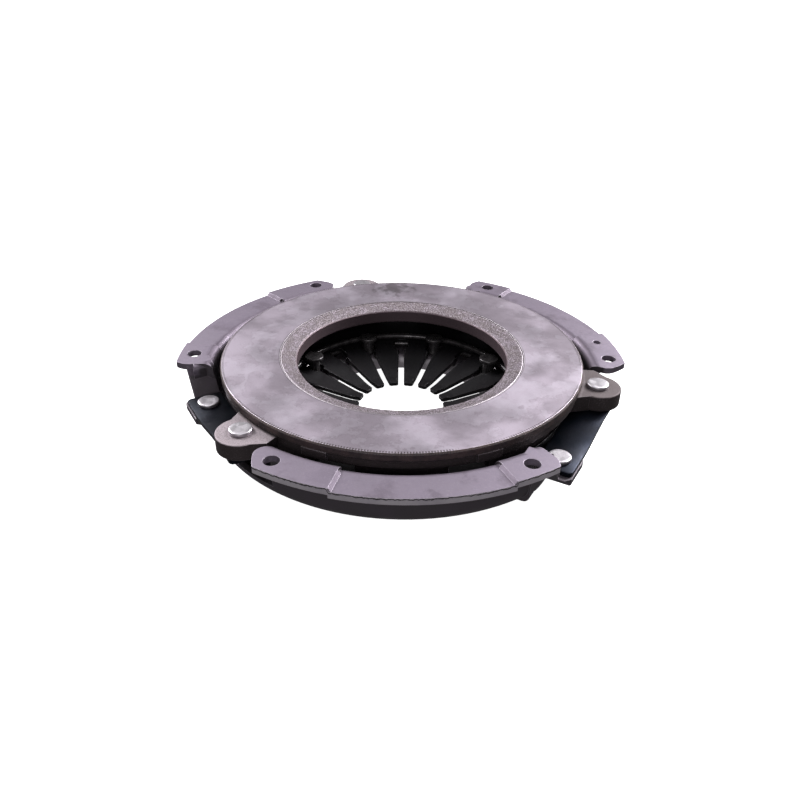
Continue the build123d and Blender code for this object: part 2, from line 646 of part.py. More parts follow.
os.makedirs("parts", exist_ok=True)
save(cover_pressing, "cover_pressing")
save(pressure_plate, "pressure_plate")
save(diaphragm_spring, "diaphragm_spring")
save(fulcrum_ring_plate_side, "fulcrum_ring_plate_side")
save(fulcrum_ring_cover_side, "fulcrum_ring_cover_side")
for number in range(FULCRUM_RIVET_COUNT):
    rivet_azimuth = FULCRUM_RIVET_FIRST_AZIMUTH + number * 360 / FULCRUM_RIVET_COUNT
    place = Location((*polar(FULCRUM_RIVET_CIRCLE_R, rivet_azimuth), 0))
    save(fulcrum_rivet(place), f"fulcrum_rivet_{number + 1}")
for number, azimuth in enumerate(strap_azimuths(), start=1):
    level = gap_plane(azimuth, 0)
    lug_place = Location(level.from_local_coords(Vector(STRAP_LINE, HALF_PITCH, 0)))
    ledge_place = Location(level.from_local_coords(Vector(STRAP_LINE, -HALF_PITCH, 0)))
    save(strap_rivet(lug_place, LUG_TOP_Z, LUG_THICKNESS + STRAP_PACK), f"lug_rivet_{number}")
    save(strap_rivet(ledge_place, LEDGE_TOP_Z + STRAP_PACK, STRAP_PACK + SHEET), f"ledge_rivet_{number}")
    for index in range(LEAF_COUNT):
        save(strap_leaf(azimuth, index), f"strap_{number}_leaf_{index + 1}")
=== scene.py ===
"""Looks of a diaphragm-spring clutch pressure plate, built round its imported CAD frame.

Lengths are millimetres in the part's own frame until a mesh is made: the origin is on the
axis of rotation in the bolting face of the cover, with +Z towards the flywheel.
"""

import logging
from dataclasses import dataclass, field
from enum import Enum
from math import cos, radians, sin
from typing import Callable

import bpy
from mathutils import Matrix, Quaternion, Vector


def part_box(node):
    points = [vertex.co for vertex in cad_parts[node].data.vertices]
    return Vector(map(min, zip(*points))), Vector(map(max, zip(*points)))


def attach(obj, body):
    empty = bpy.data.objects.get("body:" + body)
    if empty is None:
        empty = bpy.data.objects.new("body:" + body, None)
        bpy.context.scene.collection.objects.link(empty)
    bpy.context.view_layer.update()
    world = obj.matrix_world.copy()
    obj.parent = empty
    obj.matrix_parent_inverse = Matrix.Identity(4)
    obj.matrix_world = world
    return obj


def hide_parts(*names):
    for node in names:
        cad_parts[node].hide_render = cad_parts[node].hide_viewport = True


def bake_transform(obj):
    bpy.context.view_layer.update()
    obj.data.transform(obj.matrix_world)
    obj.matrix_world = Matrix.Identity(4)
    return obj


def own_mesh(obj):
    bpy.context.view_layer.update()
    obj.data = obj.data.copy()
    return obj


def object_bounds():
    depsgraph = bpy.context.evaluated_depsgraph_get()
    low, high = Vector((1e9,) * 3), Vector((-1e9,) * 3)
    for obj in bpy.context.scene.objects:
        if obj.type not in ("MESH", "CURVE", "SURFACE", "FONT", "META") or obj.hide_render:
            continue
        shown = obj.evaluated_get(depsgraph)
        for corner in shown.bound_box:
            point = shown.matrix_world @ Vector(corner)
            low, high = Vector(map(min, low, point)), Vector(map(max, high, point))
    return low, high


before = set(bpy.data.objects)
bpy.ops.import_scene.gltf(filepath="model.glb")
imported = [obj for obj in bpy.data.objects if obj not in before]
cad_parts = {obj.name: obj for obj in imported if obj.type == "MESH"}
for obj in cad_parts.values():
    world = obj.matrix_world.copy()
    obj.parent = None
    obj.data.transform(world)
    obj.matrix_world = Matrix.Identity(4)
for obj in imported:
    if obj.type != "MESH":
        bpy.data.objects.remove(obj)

CAD_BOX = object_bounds()
MM = 0.001
LOG = logging.getLogger("clutch_pressure_plate")
Socket = bpy.types.NodeSocket
Point = tuple[float, float]
Colour = tuple[float, float, float]
GAP_AZIMUTHS = (90.0, 210.0, 330.0)


def mm(x: float, y: float, z: float) -> Vector:
    """Vector in metres from coordinates in millimetres."""
    return Vector((x, y, z)) * MM


def around(radius: float, azimuth: float, z: float = 0.0) -> Vector:
    """Point in metres from its radius and height in millimetres and its azimuth in degrees."""
    return mm(radius * cos(radians(azimuth)), radius * sin(radians(azimuth)), z)


class Body(Enum):
    """The two rigid bodies of the assembly."""

    COVER = "cover"
    PLATE = "plate"


# Bench tools


class Bench:
    """A mesh on the bench, shaped with edit-mode tools in the part's own frame."""

    def __init__(self, name: str) -> None:
        """Set out a single starting vertex on the axis.

        Args:
            name: Name of the piece.
        """
        bpy.ops.object.select_all(action="DESELECT")
        bpy.ops.mesh.primitive_plane_add(size=MM, location=(0, 0, 0))
        self.piece = bpy.context.object
        self.piece.name = name
        self.piece.data.name = name
        bpy.ops.object.mode_set(mode="EDIT")
        bpy.ops.mesh.select_mode(type="VERT")
        bpy.ops.mesh.select_all(action="SELECT")
        bpy.ops.mesh.merge(type="CENTER")

    def draw(self, corners: list[Vector], closed: bool = False) -> None:
        """Draw a chain of edges from the starting vertex.

        Args:
            corners: Its corners in metres.
            closed: Whether the chain comes back to its first corner.
        """
        bpy.ops.transform.translate(value=corners[0])
        chain = [*corners, corners[0]] if closed else corners
        for here, there in zip(chain, chain[1:]):
            bpy.ops.mesh.extrude_vertices_move(TRANSFORM_OT_translate={"value": there - here})
        self.merge()

    def merge(self, reach: float = 0.01) -> None:
        """Select everything and merge the vertices within a reach in millimetres."""
        bpy.ops.mesh.select_all(action="SELECT")
        bpy.ops.mesh.remove_doubles(threshold=reach * MM)

    def lathe(self, turn: float = 360.0, step: float = 2.0) -> None:
        """Turn what is drawn about the axis of rotation.

        Args:
            turn: Degrees turned through.
            step: Degrees from one face to the next.
        """
        bpy.ops.mesh.select_all(action="SELECT")
        steps = round(turn / step)
        bpy.ops.mesh.spin(steps=steps, angle=-radians(turn), center=(0, 0, 0), axis=(0, 0, 1))
        self.merge()

    def pick(self, kind: str, test: Callable[[Vector], bool]) -> None:
        """Select the vertices or the faces whose middle passes a test.

        Args:
            kind: VERT or FACE.
            test: Takes the middle in millimetres.
        """
        bpy.ops.mesh.select_mode(type=kind)
        bpy.ops.mesh.select_all(action="DESELECT")
        bpy.ops.object.mode_set(mode="OBJECT")
        mesh = self.piece.data
        if kind == "VERT":
            found = [(vertex, vertex.co) for vertex in mesh.vertices]
        else:
            found = [(face, face.center) for face in mesh.polygons]
        for part, middle in found:
            part.select = test(middle / MM)
        bpy.ops.object.mode_set(mode="EDIT")

    def face_outwards(self) -> None:
        """Turn the faces of a closed shell outwards."""
        bpy.ops.mesh.select_all(action="SELECT")
        bpy.ops.mesh.normals_make_consistent(inside=False)

    def face_up(self) -> None:
        """Turn the faces of an open sheet to +Z."""
        self.face_outwards()
        bpy.ops.object.mode_set(mode="OBJECT")
        if self.piece.data.polygons[0].normal.z < 0:
            bpy.ops.object.mode_set(mode="EDIT")
            bpy.ops.mesh.flip_normals()
        bpy.ops.object.mode_set(mode="EDIT")

    def finish(self, crease: float = 35.0) -> bpy.types.Object:
        """Leave edit mode and smooth the shading up to a crease.

        Args:
            crease: Angle in degrees from which an edge stays sharp.

        Returns:
            The finished piece.
        """
        bpy.ops.object.mode_set(mode="OBJECT")
        bpy.ops.object.shade_smooth_by_angle(angle=radians(crease))
        return self.piece


def take(piece: bpy.types.Object) -> None:
    """Make a piece the active one and the only selected one."""
    bpy.ops.object.select_all(action="DESELECT")
    bpy.context.view_layer.objects.active = piece
    piece.select_set(True)


def settle(piece: bpy.types.Object, kind: str, applied: bool = True, **settings: object) -> None:
    """Give a piece a modifier.

    Args:
        piece: The piece.
        kind: The modifier's type.
        applied: Whether it is applied at once or stays live.
        settings: The modifier's settings.
    """
    modifier = piece.modifiers.new(kind.lower(), kind)
    for name, value in settings.items():
        setattr(modifier, name, value)
    if applied:
        take(piece)
        bpy.ops.object.modifier_apply(modifier=modifier.name)


def copy_piece(piece: bpy.types.Object, name: str, move: Matrix) -> bpy.types.Object:
    """Copy a piece with its own mesh to another place.

    Args:
        piece: The piece to copy.
        name: Name of the copy.
        move: From the first place to the new one, in metres.

    Returns:
        The copy.
    """
    copy = piece.copy()
    copy.data = piece.data.copy()
    copy.name = name
    copy.data.name = name
    bpy.context.scene.collection.objects.link(copy)
    copy.data.transform(move)
    return copy


def quarter(middle: Point, radius: float, start: float, end: float, parts: int = 4) -> list[Point]:
    """Points of an arc in a section.

    Args:
        middle: Its middle in millimetres.
        radius: Its radius in millimetres.
        start: Angle of its first point in degrees.
        end: Angle of its last point in degrees.
        parts: Number of straight parts.

    Returns:
        The points.
    """
    angles = [radians(start + (end - start) * part / parts) for part in range(parts + 1)]
    return [(middle[0] + radius * cos(angle), middle[1] + radius * sin(angle)) for angle in angles]


def turned(name: str, outline: list[Point], steel: bpy.types.Material) -> bpy.types.Object:
    """Turn a rivet's outline about the axis.

    Args:
        name: Name of the rivet.
        outline: Its corners from top to foot, as radii and heights.
        steel: Its material.

    Returns:
        The piece.
    """
    bench = Bench(name)
    bench.draw([around(radius, 0, height) for radius, height in outline])
    bench.lathe(360.0, 7.5)
    bench.face_outwards()
    piece = bench.finish(40.0)
    piece.data.materials.append(steel)
    return piece


# Sub-assemblies


@dataclass(frozen=True)
class CoverPressing:
    """The drawn cover: its solid's form, with the drop walls beside the ledges slanted."""

    steel: bpy.types.Material
    cut_reach: tuple[float, float] = (112.25, 131.0)
    cut: tuple[Point, ...] = ((-60.5, -4.6), (-56.5, -4.6), (-43.0, -24.2), (-43.0, -37.0), (-60.5, -37.0))
    wall_reach: tuple[float, float] = (108.4, 124.0)
    wall: tuple[Point, ...] = ((-57.3, -3.5), (-43.2, -24.0), (-40.8, -22.35), (-54.9, -1.85))
    weld: float = 0.002
    crease: float = 22.0
    flat_share: int = 90

    def prism(self, corners: tuple[Point, ...], reach: tuple[float, float]) -> bpy.types.Object:
        """Model a prism across the gap at +X.

        Args:
            corners: Its section, as places along the gap and heights.
            reach: Distances from the axis where it starts and ends.

        Returns:
            The prism.
        """
        bench = Bench("cover_tool")
        bench.draw([mm(reach[0], along, height) for along, height in corners], closed=True)
        bpy.ops.mesh.select_all(action="SELECT")
        bpy.ops.mesh.edge_face_add()
        bpy.ops.mesh.extrude_region_move(TRANSFORM_OT_translate={"value": mm(reach[1] - reach[0], 0, 0)})
        bench.face_outwards()
        return bench.finish()

    def build(self) -> bpy.types.Object:
        """Take the solid's mesh, trim the upright walls and join the slanted ones to it.

        Returns:
            The piece.
        """
        piece = copy_piece(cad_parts["cover_pressing"], "cover_pressing_drawn", Matrix.Identity(4))
        take(piece)
        bpy.ops.object.mode_set(mode="EDIT")
        bpy.ops.mesh.select_all(action="SELECT")
        bpy.ops.mesh.remove_doubles(threshold=self.weld * MM)
        bpy.ops.object.mode_set(mode="OBJECT")
        bpy.ops.mesh.customdata_custom_splitnormals_clear()
        for operation, corners, reach in (
            ("DIFFERENCE", self.cut, self.cut_reach),
            ("UNION", self.wall, self.wall_reach),
        ):
            tool = self.prism(corners, reach)
            for azimuth in GAP_AZIMUTHS:
                placed = copy_piece(tool, "cover_tool_placed", Matrix.Rotation(radians(azimuth), 4, "Z"))
                settle(piece, "BOOLEAN", operation=operation, object=placed, solver="EXACT")
                bpy.data.objects.remove(placed)
            bpy.data.objects.remove(tool)
        take(piece)
        bpy.ops.object.shade_smooth_by_angle(angle=radians(self.crease))
        settle(piece, "WEIGHTED_NORMAL", mode="FACE_AREA", weight=self.flat_share, keep_sharp=True)
        piece.data.materials.clear()
        piece.data.materials.append(self.steel)
        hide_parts("cover_pressing")
        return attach(piece, Body.COVER.value)


@dataclass(frozen=True)
class DiaphragmSpring:
    """Slotted and coned spring disc that rocks on the fulcrum rings."""

    steel: bpy.types.Material
    fingers: int = 18
    tip_r: float = 28.0
    tip_length: float = 8.0
    outer_r: float = 106.5
    fulcrum_r: float = 77.0
    fulcrum_z: float = -25.4
    slope: float = 0.235
    tip_slope: float = 0.12
    thickness: float = 2.6
    slot_width: float = 3.9
    tip_corner: float = 0.9
    mouth_r: float = 29.4
    bend_reach: float = 1.4
    middle_r: float = 90.0
    window: tuple[float, float, float, float] = (64.5, 75.5, 9.6, 2.6)
    ridge_r: float = 104.2
    travel: float = 6.0
    edge: float = 0.35

    def height(self, radius: float) -> float:
        """Height of the plate-side face at a radius."""
        bend_r = self.tip_r + self.tip_length
        straight = self.fulcrum_z + (max(radius, bend_r) - self.fulcrum_r) * self.slope
        return straight - max(bend_r - radius, 0.0) * self.tip_slope

    def window_sides(self) -> list[tuple[float, float, float]]:
        """Sides of the window at the root of a slot.

        Returns:
            For each side its outward normal and its distance from the axis of rotation.
        """
        near, far, width, corner = self.window
        middles = {-1: near + corner, 1: far - corner}
        sides = []
        for angle in range(0, 360, 30):
            x, y = cos(radians(angle)), sin(radians(angle))
            at_x = middles[1 if x > 0 else -1]
            at_y = (width / 2 - corner) * (1 if y > 0 else -1)
            sides.append((x, y, at_x * x + at_y * y + corner))
        return sides

    def cut(self, bench: Bench, reach: tuple[float, float], side: tuple[float, float, float]) -> None:
        """Cut the faces between two radii along an upright plane.

        Args:
            bench: The sheet.
            reach: The two radii.
            side: Normal and distance of the plane.
        """
        x, y, distance = side
        bench.pick("FACE", lambda at: reach[0] < at.xy.length < reach[1])
        bpy.ops.mesh.bisect(plane_co=mm(x * distance, y * distance, 0), plane_no=(x, y, 0))

    def sector(self) -> Bench:
        """Model the sheet round one slot.

        Returns:
            The bench with the sector, its slot along +X.
        """
        near, far, width, _ = self.window
        sector = 360 / self.fingers
        first, last = near - 0.3, far + 0.4
        bend_r = self.tip_r + self.tip_length
        bends = (bend_r - self.bend_reach, bend_r, bend_r + self.bend_reach)
        stations = (self.tip_r, self.mouth_r, *bends, first, last, self.middle_r, self.outer_r)
        bench = Bench("diaphragm_spring_sheet")
        bench.draw([around(radius, -sector / 2, self.height(radius)) for radius in stations])
        bench.lathe(sector, 2.0)
        half = self.slot_width / 2
        for side in ((0.0, 1.0, half), (0.0, -1.0, half)):
            self.cut(bench, (0.0, last), side)
        lean = 0.5**0.5
        tip = (self.tip_r + half + self.tip_corner) * lean
        for side in ((lean, lean, tip), (lean, -lean, tip)):
            self.cut(bench, (0.0, self.mouth_r), side)
        window = self.window_sides()
        for side in window:
            self.cut(bench, (first, last), side)

        def punched(at: Vector) -> bool:
            """Whether a face lies in the slot, at its chamfered mouth or in its window."""
            in_slot = abs(at.y) < half and at.x < near + 1
            in_tip = at.x + abs(at.y) < self.tip_r + half + self.tip_corner
            in_window = all(x * at.x + y * at.y < distance for x, y, distance in window)
            return in_slot or in_tip or in_window

        bench.pick("FACE", punched)
        bpy.ops.mesh.delete(type="FACE")
        bench.merge(0.05)
        return bench

    def build(self) -> bpy.types.Object:
        """Model the spring.

        Returns:
            The piece.
        """
        bench = self.sector()
        sector = radians(360 / self.fingers)
        bpy.ops.transform.rotate(value=sector / 2, orient_axis="Z", center_override=(0, 0, 0))
        for _ in range(self.fingers - 1):
            bpy.ops.mesh.duplicate()
            bpy.ops.transform.rotate(value=sector, orient_axis="Z", center_override=(0, 0, 0))
        bench.merge()
        bench.face_up()
        piece = bench.finish()
        settle(
            piece, "SOLIDIFY", applied=False, thickness=self.thickness * MM, offset=-1.0,
            use_even_offset=True,
        )
        settle(
            piece, "BEVEL", applied=False, width=self.edge * MM, segments=2, limit_method="ANGLE",
            angle_limit=radians(55), use_clamp_overlap=False, harden_normals=True,
        )
        piece.data.materials.append(self.steel)
        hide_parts("diaphragm_spring")
        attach(piece, Body.COVER.value)
        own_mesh(piece)
        return piece


@dataclass(frozen=True)
class FulcrumRings:
    """The two wire rings that the spring rocks between."""

    steel: bpy.types.Material
    wire_r: float = 2.0
    split: float = 1.5
    first_azimuth: float = 10.0

    def ring(self, name: str) -> bpy.types.Object:
        """Model one split ring inside the box of the node it stands for.

        Args:
            name: Name of the node.

        Returns:
            The piece.
        """
        low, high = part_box(name)
        radius = (high.x - low.x) / 2 / MM - self.wire_r
        height = (low.z + high.z) / 2 / MM
        bench = Bench(f"{name}_wire")
        start = self.first_azimuth + self.split / 2
        section = quarter((radius, height), self.wire_r, 0.0, 330.0, 11)
        bench.draw([around(r, start, z) for r, z in section], closed=True)
        bench.lathe(360.0 - self.split, 2.0)
        bpy.ops.mesh.select_all(action="DESELECT")
        bpy.ops.mesh.select_non_manifold()
        bpy.ops.mesh.fill_holes(sides=0)
        bench.face_outwards()
        piece = bench.finish(50.0)
        piece.data.materials.append(self.steel)
        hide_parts(name)
        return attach(piece, Body.COVER.value)

    def build(self) -> list[bpy.types.Object]:
        """Model both rings."""
        return [self.ring("fulcrum_ring_plate_side"), self.ring("fulcrum_ring_cover_side")]


@dataclass(frozen=True)
class StrapDrive:
    """Three packs of spring leaves that carry the plate, and the rivets at their ends."""

    leaf_steel: bpy.types.Material
    rivet_steel: bpy.types.Material
    leaves: int = 3
    thickness: float = 0.9
    width: float = 21.6
    corner: float = 3.0
    line: float = 119.2
    half_pitch: float = 31.2
    end: float = 10.6
    bend_end: float = 21.6
    bend_parts: int = 16
    softness: float = 0.16
    lug_under: float = -11.4
    lug_top: float = -1.5
    fall: float = 6.0
    sheet: float = 4.0
    head_r: float = 6.6
    head_height: float = 2.3
    shank_r: float = 4.0
    formed_r: float = 5.9
    formed_height: float = 2.2

    def leaf(self) -> bpy.types.Object:
        """Model the top leaf of a pack whose gap is at +X.

        Returns:
            The piece.
        """
        shares = [part / self.bend_parts for part in range(self.bend_parts + 1)]
        bends = [(2 * share - 1) * self.bend_end for share in shares]
        tip = self.half_pitch + self.end
        low = self.lug_under - self.fall
        bench = Bench("strap_leaf")
        chain = []
        for along, share in zip((-tip, *bends, tip), (0.0, *shares, 1.0)):
            rise = self.fall * share * share * (3 - 2 * share)
            chain.append(mm(self.line - self.width / 2, along, low + rise))
        bench.draw(chain)
        bpy.ops.mesh.select_all(action="SELECT")
        bpy.ops.mesh.extrude_edges_move(TRANSFORM_OT_translate={"value": mm(self.width, 0, 0)})
        bench.pick("VERT", lambda at: abs(at.y) > tip - 0.1)
        bpy.ops.mesh.bevel(offset=self.corner * MM, segments=3, affect="VERTICES")
        bench.face_up()
        piece = bench.finish()
        settle(piece, "SOLIDIFY", thickness=self.thickness * MM, offset=-1.0)
        settle(
            piece, "BEVEL", width=self.softness * MM, segments=2, limit_method="ANGLE",
            angle_limit=radians(60),
        )
        piece.data.materials.append(self.leaf_steel)
        return piece

    def rivet(self, seat: float, grip: float) -> bpy.types.Object:
        """Model a strap rivet on the axis.

        Args:
            seat: Height of the seat of its head.
            grip: Thickness between its two heads.

        Returns:
            The piece.
        """
        top = seat + self.head_height
        foot = seat - grip
        end = foot - self.formed_height
        outline = [
            (0.0, top - 0.06),
            (1.6, top - 0.05),
            (4.2, top),
            *quarter((self.head_r - 0.75, top - 0.75), 0.75, 90, 0),
            *quarter((self.head_r - 0.25, seat + 0.3), 0.25, 0, -90, 2),
            (self.shank_r, seat),
            (self.shank_r, foot),
            (self.formed_r, foot),
            *quarter((self.formed_r - 0.9, end + 1.0), 0.9, 0, -75),
            (2.6, end),
            (1.5, end + 0.7),
            (0.0, end + 0.9),
        ]
        return turned("strap_rivet", outline, self.rivet_steel)

    def build(self) -> list[bpy.types.Object]:
        """Model the leaves and rivets and copy them to the three gaps.

        Returns:
            The pieces.
        """
        pack = self.leaves * self.thickness
        ledge_seat = self.lug_under - self.fall
        first_leaf = self.leaf()
        lug_rivet = self.rivet(self.lug_top, self.lug_top - self.lug_under + pack)
        ledge_rivet = self.rivet(ledge_seat, pack + self.sheet)
        pieces = []
        for number, azimuth in enumerate(GAP_AZIMUTHS, start=1):
            turn = Matrix.Rotation(radians(azimuth), 4, "Z")
            for index in range(self.leaves):
                node = f"strap_{number}_leaf_{index + 1}"
                down = Matrix.Translation(mm(0, 0, -index * self.thickness))
                leaf = copy_piece(first_leaf, f"{node}_bent", turn @ down)
                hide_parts(node)
                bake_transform(leaf)
                pieces.append(leaf)
            for source, node, along, body in (
                (lug_rivet, f"lug_rivet_{number}", self.half_pitch, Body.PLATE),
                (ledge_rivet, f"ledge_rivet_{number}", -self.half_pitch, Body.COVER),
            ):
                place = Matrix.Translation(mm(self.line, along, 0))
                rivet = copy_piece(source, f"{node}_headed", turn @ place)
                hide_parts(node)
                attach(rivet, body.value)
                pieces.append(rivet)
        for source in (first_leaf, lug_rivet, ledge_rivet):
            bpy.data.objects.remove(source)
        return pieces


@dataclass(frozen=True)
class FulcrumRivets:
    """Nine shouldered rivets that hold the rings and the spring to the floor of the cover."""

    steel: bpy.types.Material
    count: int = 9
    first_azimuth: float = 30.0
    shank_r: float = 4.0
    tenon_r: float = 3.3
    head_height: float = 2.2
    sheet: float = 4.0

    def rivet(self) -> bpy.types.Object:
        """Model one rivet on the axis, as tall as the node that it stands for.

        Returns:
            The piece.
        """
        low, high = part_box("fulcrum_rivet_1")
        top = high.z / MM
        seat = top - self.head_height
        end = low.z / MM
        under = end + self.head_height
        head_r = (high.x - low.x) / 2 / MM
        floor = under + self.sheet
        outline = [
            (0.0, top - 0.5),
            (1.3, top - 0.35),
            (2.4, top),
            *quarter((head_r - 0.7, top - 0.7), 0.7, 90, 0),
            *quarter((head_r - 0.3, seat + 0.3), 0.3, 0, -90, 2),
            (self.shank_r, seat),
            (self.shank_r, floor),
            (self.tenon_r, floor),
            (self.tenon_r, under),
            (head_r - 1.2, under),
            *quarter((head_r - 2.2, end + 1.0), 1.0, 0, -80),
            (2.2, end),
            (1.2, end + 0.6),
            (0.0, end + 0.7),
        ]
        return turned("fulcrum_rivet", outline, self.steel)

    def build(self) -> list[bpy.types.Object]:
        """Model the rivet once and copy it to each place.

        Returns:
            The pieces.
        """
        first = self.rivet()
        pieces = []
        for index in range(self.count):
            node = f"fulcrum_rivet_{index + 1}"
            low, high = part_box(node)
            middle = (low + high) / 2
            rivet = copy_piece(first, f"{node}_headed", Matrix.Translation((middle.x, middle.y, 0)))
            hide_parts(node)
            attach(rivet, Body.COVER.value)
            pieces.append(rivet)
        bpy.data.objects.remove(first)
        return pieces


# Node wiring and shared effects


class Wiring:
    """Adds nodes to a tree and joins them, so that a material reads as a list of steps."""

    def __init__(self, tree: bpy.types.NodeTree) -> None:
        """Keep the tree to be wired.

        Args:
            tree: The node tree of a material or of a node group.
        """
        self.tree = tree

    def feed(self, socket: Socket, value: object) -> None:
        """Link an output to an input socket, or set the socket to a constant.

        Args:
            socket: The input socket.
            value: An output socket, a number, a vector or a colour.
        """
        if isinstance(value, bpy.types.NodeSocket):
            self.tree.links.new(value, socket)
        elif socket.type == "RGBA" and len(value) == 3:
            socket.default_value = (*value, 1.0)
        else:
            socket.default_value = value

    def node(
        self, kind: str, settings: dict[str, object] | None = None, **inputs: object
    ) -> bpy.types.Node:
        """Add a node, set its properties and feed its inputs.

        Args:
            kind: The node's type name without its ShaderNode prefix.
            settings: Properties of the node.
            inputs: Values or sockets by input name, with underscores for spaces.

        Returns:
            The new node.
        """
        made = self.tree.nodes.new(f"ShaderNode{kind}")
        for name, value in (settings or {}).items():
            setattr(made, name, value)
        for name, value in inputs.items():
            self.feed(made.inputs[name.replace("_", " ")], value)
        return made

    def math(self, operation: str, first: object, second: object = 0.0, clamp: bool = False) -> Socket:
        """Add a Math node.

        Args:
            operation: The node's operation, such as MULTIPLY.
            first: First value or socket.
            second: Second value or socket.
            clamp: Whether the result is held between 0 and 1.

        Returns:
            The result's socket.
        """
        made = self.node("Math", {"operation": operation, "use_clamp": clamp})
        self.feed(made.inputs[0], first)
        self.feed(made.inputs[1], second)
        return made.outputs[0]

    def times(self, first: object, second: object) -> Socket:
        """Product of two values or sockets."""
        return self.math("MULTIPLY", first, second)

    def step(
        self, value: object, low: float, high: float, to_low: float = 0.0, to_high: float = 1.0
    ) -> Socket:
        """Smooth step of a value between two levels.

        Args:
            value: The value or socket.
            low: Where the step starts.
            high: Where the step ends.
            to_low: Result at and before the start.
            to_high: Result at and after the end.

        Returns:
            The result's socket.
        """
        made = self.node("MapRange", {"interpolation_type": "SMOOTHSTEP"}, Value=value)
        levels = {"From Min": low, "From Max": high, "To Min": to_low, "To Max": to_high}
        for name, level in levels.items():
            made.inputs[name].default_value = level
        return made.outputs["Result"]

    def mix(self, factor: object, first: object, second: object) -> Socket:
        """Colour between two colours.

        Args:
            factor: 0 for the first colour, 1 for the second.
            first: First colour or socket.
            second: Second colour or socket.

        Returns:
            The result's socket.
        """
        made = self.tree.nodes.new("ShaderNodeMix")
        made.data_type = "RGBA"
        self.feed(made.inputs[0], factor)
        self.feed(made.inputs[6], first)
        self.feed(made.inputs[7], second)
        return made.outputs[2]

    def band(self, value: object, low: float, high: float, soft: float = 0.1) -> Socket:
        """Mask of a band between two levels.

        Args:
            value: The value or socket.
            low: Lower level.
            high: Upper level.
            soft: Width of the mask's edges.

        Returns:
            The mask's socket.
        """
        above = self.step(value, low - soft / 2, low + soft / 2)
        below = self.step(value, high - soft / 2, high + soft / 2, 1.0, 0.0)
        return self.times(above, below)

    def levelness(self) -> Socket:
        """How level a face lies: 1 for a level one, 0 for an upright one."""
        normal = self.node("NewGeometry").outputs["Normal"]
        return self.math("ABSOLUTE", self.node("SeparateXYZ", Vector=normal).outputs["Z"])

    def upright(self) -> Socket:
        """Mask of faces that stand upright, 0 on level ones."""
        return self.step(self.levelness(), 0.25, 0.6, 1.0, 0.0)

    def place(self) -> Socket:
        """Place on the piece in millimetres."""
        where = self.node("TexCoord").outputs["Object"]
        return self.node("VectorMath", {"operation": "SCALE"}, Vector=where, Scale=1 / MM).outputs[0]

    def noise(self, place: Socket, size: object, detail: float = 3.0, roughness: float = 0.55) -> Socket:
        """Noise whose blotches are about a given size.

        Args:
            place: Place in millimetres.
            size: Size of a blotch in millimetres, or a socket with its inverse.
            detail: Octaves of finer noise.
            roughness: Strength of the finer noise.

        Returns:
            The noise value's socket.
        """
        scale = size if isinstance(size, bpy.types.NodeSocket) else 1 / size
        made = self.node("TexNoise", Vector=place, Scale=scale, Detail=detail, Roughness=roughness)
        return made.outputs["Fac"]

    def call(self, group: bpy.types.NodeTree, **inputs: object) -> bpy.types.Node:
        """Place a node group.

        Args:
            group: The shared effect.
            inputs: Values or sockets by input name, with underscores for spaces.

        Returns:
            The group node.
        """
        made = self.tree.nodes.new("ShaderNodeGroup")
        made.node_tree = group
        for name, value in inputs.items():
            self.feed(made.inputs[name.replace("_", " ")], value)
        return made


@dataclass(frozen=True)
class Effect:
    """A shared surface effect, kept as one node group with named sockets."""

    name: str
    inputs: tuple[tuple[str, float], ...]
    outputs: tuple[tuple[str, str], ...]

    def open(self) -> tuple[Wiring, bpy.types.Node, bpy.types.Node]:
        """Make the empty group with its sockets.

        Returns:
            The wiring of the group, its input node and its output node.
        """
        tree = bpy.data.node_groups.new(self.name, "ShaderNodeTree")
        for name, value in self.inputs:
            socket = tree.interface.new_socket(name, in_out="INPUT", socket_type="NodeSocketFloat")
            socket.default_value = value
        for name, kind in self.outputs:
            tree.interface.new_socket(name, in_out="OUTPUT", socket_type=f"NodeSocket{kind}")
        wiring = Wiring(tree)
        return wiring, tree.nodes.new("NodeGroupInput"), tree.nodes.new("NodeGroupOutput")


def build_edge_wear() -> bpy.types.NodeTree:
    """Build the effect that finds rounded and rubbed edges.

    Returns:
        A group with a Mask of worn edges and the Normal of slightly rounded ones.
    """
    effect = Effect(
        "worn_edges",
        (("Radius", 0.0004), ("Patchiness", 0.5)),
        (("Mask", "Float"), ("Normal", "Vector")),
    )
    w, given, result = effect.open()
    rounded = w.tree.nodes.new("ShaderNodeBevel")
    rounded.samples = 6
    w.feed(rounded.inputs["Radius"], given.outputs["Radius"])
    flat = w.node("NewGeometry").outputs["Normal"]
    likeness = w.node("VectorMath", {"operation": "DOT_PRODUCT"})
    w.feed(likeness.inputs[0], rounded.outputs["Normal"])
    w.feed(likeness.inputs[1], flat)
    bend = w.step(w.math("SUBTRACT", 1.0, likeness.outputs["Value"]), 0.01, 0.16)
    patches = w.step(w.noise(w.place(), 7.0, 4.0, 0.65), 0.35, 0.62)
    kept = w.math("SUBTRACT", 1.0, w.times(given.outputs["Patchiness"], patches))
    w.feed(result.inputs["Mask"], w.math("MULTIPLY", bend, kept, clamp=True))
    w.feed(result.inputs["Normal"], rounded.outputs["Normal"])
    return w.tree


